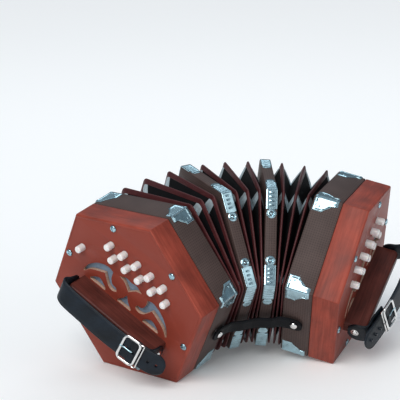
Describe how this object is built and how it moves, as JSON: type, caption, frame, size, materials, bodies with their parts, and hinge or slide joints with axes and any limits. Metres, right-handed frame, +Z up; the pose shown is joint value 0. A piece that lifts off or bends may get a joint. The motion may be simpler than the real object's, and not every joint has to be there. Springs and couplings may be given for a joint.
{
  "type": "concertina",
  "caption": "Hexagonal free-reed squeezebox with pierced wooden ends, round buttons, hand rails with buckled straps and folding bellows, standing open like a fan.",
  "frame": {"origin": "on the ground, under the middle of the instrument's box", "axes": "+X from the right-hand end to the left-hand end, +Z up, -Y towards the pinched front of the bellows"},
  "size_m": [0.356, 0.2182, 0.179],
  "materials": {
    "mahogany": "polished mahogany",
    "leatherette": "fine-grained covering",
    "nickel": "bright nickel plate, worn",
    "button_bone": "turned bone, polished",
    "strap_leather": "black, waxed",
    "bellows_leather": "burgundy binding over card",
    "fret_cloth": "thin woven cloth",
    "action_wood": "plain sycamore",
    "lever_brass": "drawn brass, felt pads",
    "reed_brass": "plain"
  },
  "bodies": {
    "right_end": {"right_end_cover": "mahogany", "right_fret_cloth": "fret_cloth", "right_end_screws": "nickel", "right_hand_rail": "mahogany", "right_hand_strap": "strap_leather", "right_strap_buckle": "nickel", "right_casing": "leatherette", "right_casing_fittings": "nickel", "right_action_board": "action_wood", "right_key_levers": "lever_brass", "right_reed_pan": "action_wood", "right_reed_plates": "reed_brass"},
    "fold_1_plane": {"bellows_fold_1": "bellows_leather"},
    "fold_2_plane": {"bellows_fold_2": "bellows_leather"},
    "middle_frame_1_plane": {"bellows_fold_3": "bellows_leather", "middle_frame_1": "leatherette", "middle_frame_1_corner_straps": "nickel"},
    "fold_4_plane": {"bellows_fold_4": "bellows_leather"},
    "fold_5_plane": {"bellows_fold_5": "bellows_leather", "closing_strap": "strap_leather"},
    "middle_frame_2_plane": {"bellows_fold_6": "bellows_leather", "middle_frame_2": "leatherette", "middle_frame_2_corner_straps": "nickel"},
    "fold_7_plane": {"bellows_fold_7": "bellows_leather"},
    "fold_8_plane": {"bellows_fold_8": "bellows_leather"},
    "left_end": {"bellows_fold_9": "bellows_leather", "left_end_cover": "mahogany", "left_fret_cloth": "fret_cloth", "left_end_screws": "nickel", "left_hand_rail": "mahogany", "left_hand_strap": "strap_leather", "left_strap_buckle": "nickel", "left_casing": "leatherette", "left_casing_fittings": "nickel", "left_action_board": "action_wood", "left_key_levers": "lever_brass", "left_reed_pan": "action_wood", "left_reed_plates": "reed_brass"},
    "right_button_1": {"right_button_1": "button_bone"},
    "right_button_2": {"right_button_2": "button_bone"},
    "right_button_3": {"right_button_3": "button_bone"},
    "right_button_4": {"right_button_4": "button_bone"},
    "right_button_5": {"right_button_5": "button_bone"},
    "right_button_6": {"right_button_6": "button_bone"},
    "right_button_7": {"right_button_7": "button_bone"},
    "right_button_8": {"right_button_8": "button_bone"},
    "right_button_9": {"right_button_9": "button_bone"},
    "right_button_10": {"right_button_10": "button_bone"},
    "left_button_1": {"left_button_1": "button_bone"},
    "left_button_2": {"left_button_2": "button_bone"},
    "left_button_3": {"left_button_3": "button_bone"},
    "left_button_4": {"left_button_4": "button_bone"},
    "left_button_5": {"left_button_5": "button_bone"},
    "left_button_6": {"left_button_6": "button_bone"},
    "left_button_7": {"left_button_7": "button_bone"},
    "left_button_8": {"left_button_8": "button_bone"},
    "left_button_9": {"left_button_9": "button_bone"},
    "left_button_10": {"left_button_10": "button_bone"},
    "right_air_button": {"right_air_button": "button_bone"},
    "right_air_lever": {"right_air_lever": "lever_brass"}
  },
  "joints": [
    {"name": "bellows_fold_1_opening", "type": "hinge", "parent": "right_end", "child": "fold_1_plane", "pos_m": [-0.0224, -0.07151, 0.06783], "axis": [0.0201, 0.3033, -0.9527], "range_deg": [-9, 1.5], "deforming": ["bellows_fold_1"]},
    {"name": "bellows_fold_2_opening", "type": "hinge", "parent": "fold_1_plane", "child": "fold_2_plane", "pos_m": [-0.01956, -0.07014, 0.06833], "axis": [0.0201, 0.3033, -0.9527], "range_deg": [-9.02, 1.52], "deforming": ["bellows_fold_2"]},
    {"name": "bellows_fold_3_opening", "type": "hinge", "parent": "fold_2_plane", "child": "middle_frame_1_plane", "pos_m": [-0.01651, -0.06921, 0.06869], "axis": [0.0201, 0.3033, -0.9527], "range_deg": [-9.02, 1.52], "deforming": ["bellows_fold_3"]},
    {"name": "bellows_fold_4_opening", "type": "hinge", "parent": "middle_frame_1_plane", "child": "fold_4_plane", "pos_m": [-0.00387, -0.05777, 0.06963], "axis": [0.0145, 0.3359, -0.9418], "range_deg": [-7.92, 1.34], "deforming": ["bellows_fold_4"]},
    {"name": "bellows_fold_5_opening", "type": "hinge", "parent": "fold_4_plane", "child": "fold_5_plane", "pos_m": [-0.00067, -0.05773, 0.06969], "axis": [0.0145, 0.3359, -0.9418], "range_deg": [-7.92, 1.34], "deforming": ["bellows_fold_5", "closing_strap"]},
    {"name": "bellows_fold_6_opening", "type": "hinge", "parent": "fold_5_plane", "child": "middle_frame_2_plane", "pos_m": [0.00251, -0.05809, 0.06961], "axis": [0.0145, 0.3359, -0.9418], "range_deg": [-7.92, 1.34], "deforming": ["bellows_fold_6"]},
    {"name": "bellows_fold_7_opening", "type": "hinge", "parent": "middle_frame_2_plane", "child": "fold_7_plane", "pos_m": [0.01613, -0.06033, 0.06295], "axis": [0.0321, 0.3986, -0.9166], "range_deg": [-7.42, 1.25], "deforming": ["bellows_fold_7"]},
    {"name": "bellows_fold_8_opening", "type": "hinge", "parent": "fold_7_plane", "child": "fold_8_plane", "pos_m": [0.0191, -0.06146, 0.06256], "axis": [0.0321, 0.3986, -0.9166], "range_deg": [-7.42, 1.25], "deforming": ["bellows_fold_8"]},
    {"name": "bellows_fold_9_opening", "type": "hinge", "parent": "fold_8_plane", "child": "left_end", "pos_m": [0.02189, -0.06294, 0.06202], "axis": [0.0321, 0.3986, -0.9166], "range_deg": [-7.42, 1.25], "deforming": ["bellows_fold_9"]},
    {"name": "right_button_1_travel", "type": "slide", "parent": "right_end", "child": "right_button_1", "axis": [0.808, 0.5564, 0.1941], "range_m": [0, 0.003], "stiffness_N_per_m": 150, "springref_m": -0.002},
    {"name": "right_button_2_travel", "type": "slide", "parent": "right_end", "child": "right_button_2", "axis": [0.808, 0.5564, 0.1941], "range_m": [0, 0.003], "stiffness_N_per_m": 150, "springref_m": -0.002},
    {"name": "right_button_3_travel", "type": "slide", "parent": "right_end", "child": "right_button_3", "axis": [0.808, 0.5564, 0.1941], "range_m": [0, 0.003], "stiffness_N_per_m": 150, "springref_m": -0.002},
    {"name": "right_button_4_travel", "type": "slide", "parent": "right_end", "child": "right_button_4", "axis": [0.808, 0.5564, 0.1941], "range_m": [0, 0.003], "stiffness_N_per_m": 150, "springref_m": -0.002},
    {"name": "right_button_5_travel", "type": "slide", "parent": "right_end", "child": "right_button_5", "axis": [0.808, 0.5564, 0.1941], "range_m": [0, 0.003], "stiffness_N_per_m": 150, "springref_m": -0.002},
    {"name": "right_button_6_travel", "type": "slide", "parent": "right_end", "child": "right_button_6", "axis": [0.808, 0.5564, 0.1941], "range_m": [0, 0.003], "stiffness_N_per_m": 150, "springref_m": -0.002},
    {"name": "right_button_7_travel", "type": "slide", "parent": "right_end", "child": "right_button_7", "axis": [0.808, 0.5564, 0.1941], "range_m": [0, 0.003], "stiffness_N_per_m": 150, "springref_m": -0.002},
    {"name": "right_button_8_travel", "type": "slide", "parent": "right_end", "child": "right_button_8", "axis": [0.808, 0.5564, 0.1941], "range_m": [0, 0.003], "stiffness_N_per_m": 150, "springref_m": -0.002},
    {"name": "right_button_9_travel", "type": "slide", "parent": "right_end", "child": "right_button_9", "axis": [0.808, 0.5564, 0.1941], "range_m": [0, 0.003], "stiffness_N_per_m": 150, "springref_m": -0.002},
    {"name": "right_button_10_travel", "type": "slide", "parent": "right_end", "child": "right_button_10", "axis": [0.808, 0.5564, 0.1941], "range_m": [0, 0.003], "stiffness_N_per_m": 150, "springref_m": -0.002},
    {"name": "left_button_1_travel", "type": "slide", "parent": "left_end", "child": "left_button_1", "axis": [-0.8015, 0.5581, 0.2147], "range_m": [0, 0.003], "stiffness_N_per_m": 150, "springref_m": -0.002},
    {"name": "left_button_2_travel", "type": "slide", "parent": "left_end", "child": "left_button_2", "axis": [-0.8015, 0.5581, 0.2147], "range_m": [0, 0.003], "stiffness_N_per_m": 150, "springref_m": -0.002},
    {"name": "left_button_3_travel", "type": "slide", "parent": "left_end", "child": "left_button_3", "axis": [-0.8015, 0.5581, 0.2147], "range_m": [0, 0.003], "stiffness_N_per_m": 150, "springref_m": -0.002},
    {"name": "left_button_4_travel", "type": "slide", "parent": "left_end", "child": "left_button_4", "axis": [-0.8015, 0.5581, 0.2147], "range_m": [0, 0.003], "stiffness_N_per_m": 150, "springref_m": -0.002},
    {"name": "left_button_5_travel", "type": "slide", "parent": "left_end", "child": "left_button_5", "axis": [-0.8015, 0.5581, 0.2147], "range_m": [0, 0.003], "stiffness_N_per_m": 150, "springref_m": -0.002},
    {"name": "left_button_6_travel", "type": "slide", "parent": "left_end", "child": "left_button_6", "axis": [-0.8015, 0.5581, 0.2147], "range_m": [0, 0.003], "stiffness_N_per_m": 150, "springref_m": -0.002},
    {"name": "left_button_7_travel", "type": "slide", "parent": "left_end", "child": "left_button_7", "axis": [-0.8015, 0.5581, 0.2147], "range_m": [0, 0.003], "stiffness_N_per_m": 150, "springref_m": -0.002},
    {"name": "left_button_8_travel", "type": "slide", "parent": "left_end", "child": "left_button_8", "axis": [-0.8015, 0.5581, 0.2147], "range_m": [0, 0.003], "stiffness_N_per_m": 150, "springref_m": -0.002},
    {"name": "left_button_9_travel", "type": "slide", "parent": "left_end", "child": "left_button_9", "axis": [-0.8015, 0.5581, 0.2147], "range_m": [0, 0.003], "stiffness_N_per_m": 150, "springref_m": -0.002},
    {"name": "left_button_10_travel", "type": "slide", "parent": "left_end", "child": "left_button_10", "axis": [-0.8015, 0.5581, 0.2147], "range_m": [0, 0.003], "stiffness_N_per_m": 150, "springref_m": -0.002},
    {"name": "right_air_button_travel", "type": "slide", "parent": "right_end", "child": "right_air_button", "axis": [0.808, 0.5564, 0.1941], "range_m": [0, 0.003], "stiffness_N_per_m": 150, "springref_m": -0.002},
    {"name": "right_air_lever_rock", "type": "hinge", "parent": "right_end", "child": "right_air_lever", "pos_m": [-0.14374, 0.01406, 0.11334], "axis": [-0.5716, 0.6601, 0.4874], "range_deg": [0, 15.6]}
  ],
  "couplings": [
    {"joint": "bellows_fold_2_opening", "follows": "bellows_fold_1_opening", "ratio": 1},
    {"joint": "bellows_fold_3_opening", "follows": "bellows_fold_1_opening", "ratio": 1},
    {"joint": "bellows_fold_4_opening", "follows": "bellows_fold_1_opening", "ratio": 0.87778},
    {"joint": "bellows_fold_5_opening", "follows": "bellows_fold_1_opening", "ratio": 0.87778},
    {"joint": "bellows_fold_6_opening", "follows": "bellows_fold_1_opening", "ratio": 0.87778},
    {"joint": "bellows_fold_7_opening", "follows": "bellows_fold_1_opening", "ratio": 0.82222},
    {"joint": "bellows_fold_8_opening", "follows": "bellows_fold_1_opening", "ratio": 0.82222},
    {"joint": "bellows_fold_9_opening", "follows": "bellows_fold_1_opening", "ratio": 0.82222},
    {"joint": "right_air_lever_rock", "follows": "right_air_button_travel", "rad_per_m": 90}
  ]
}
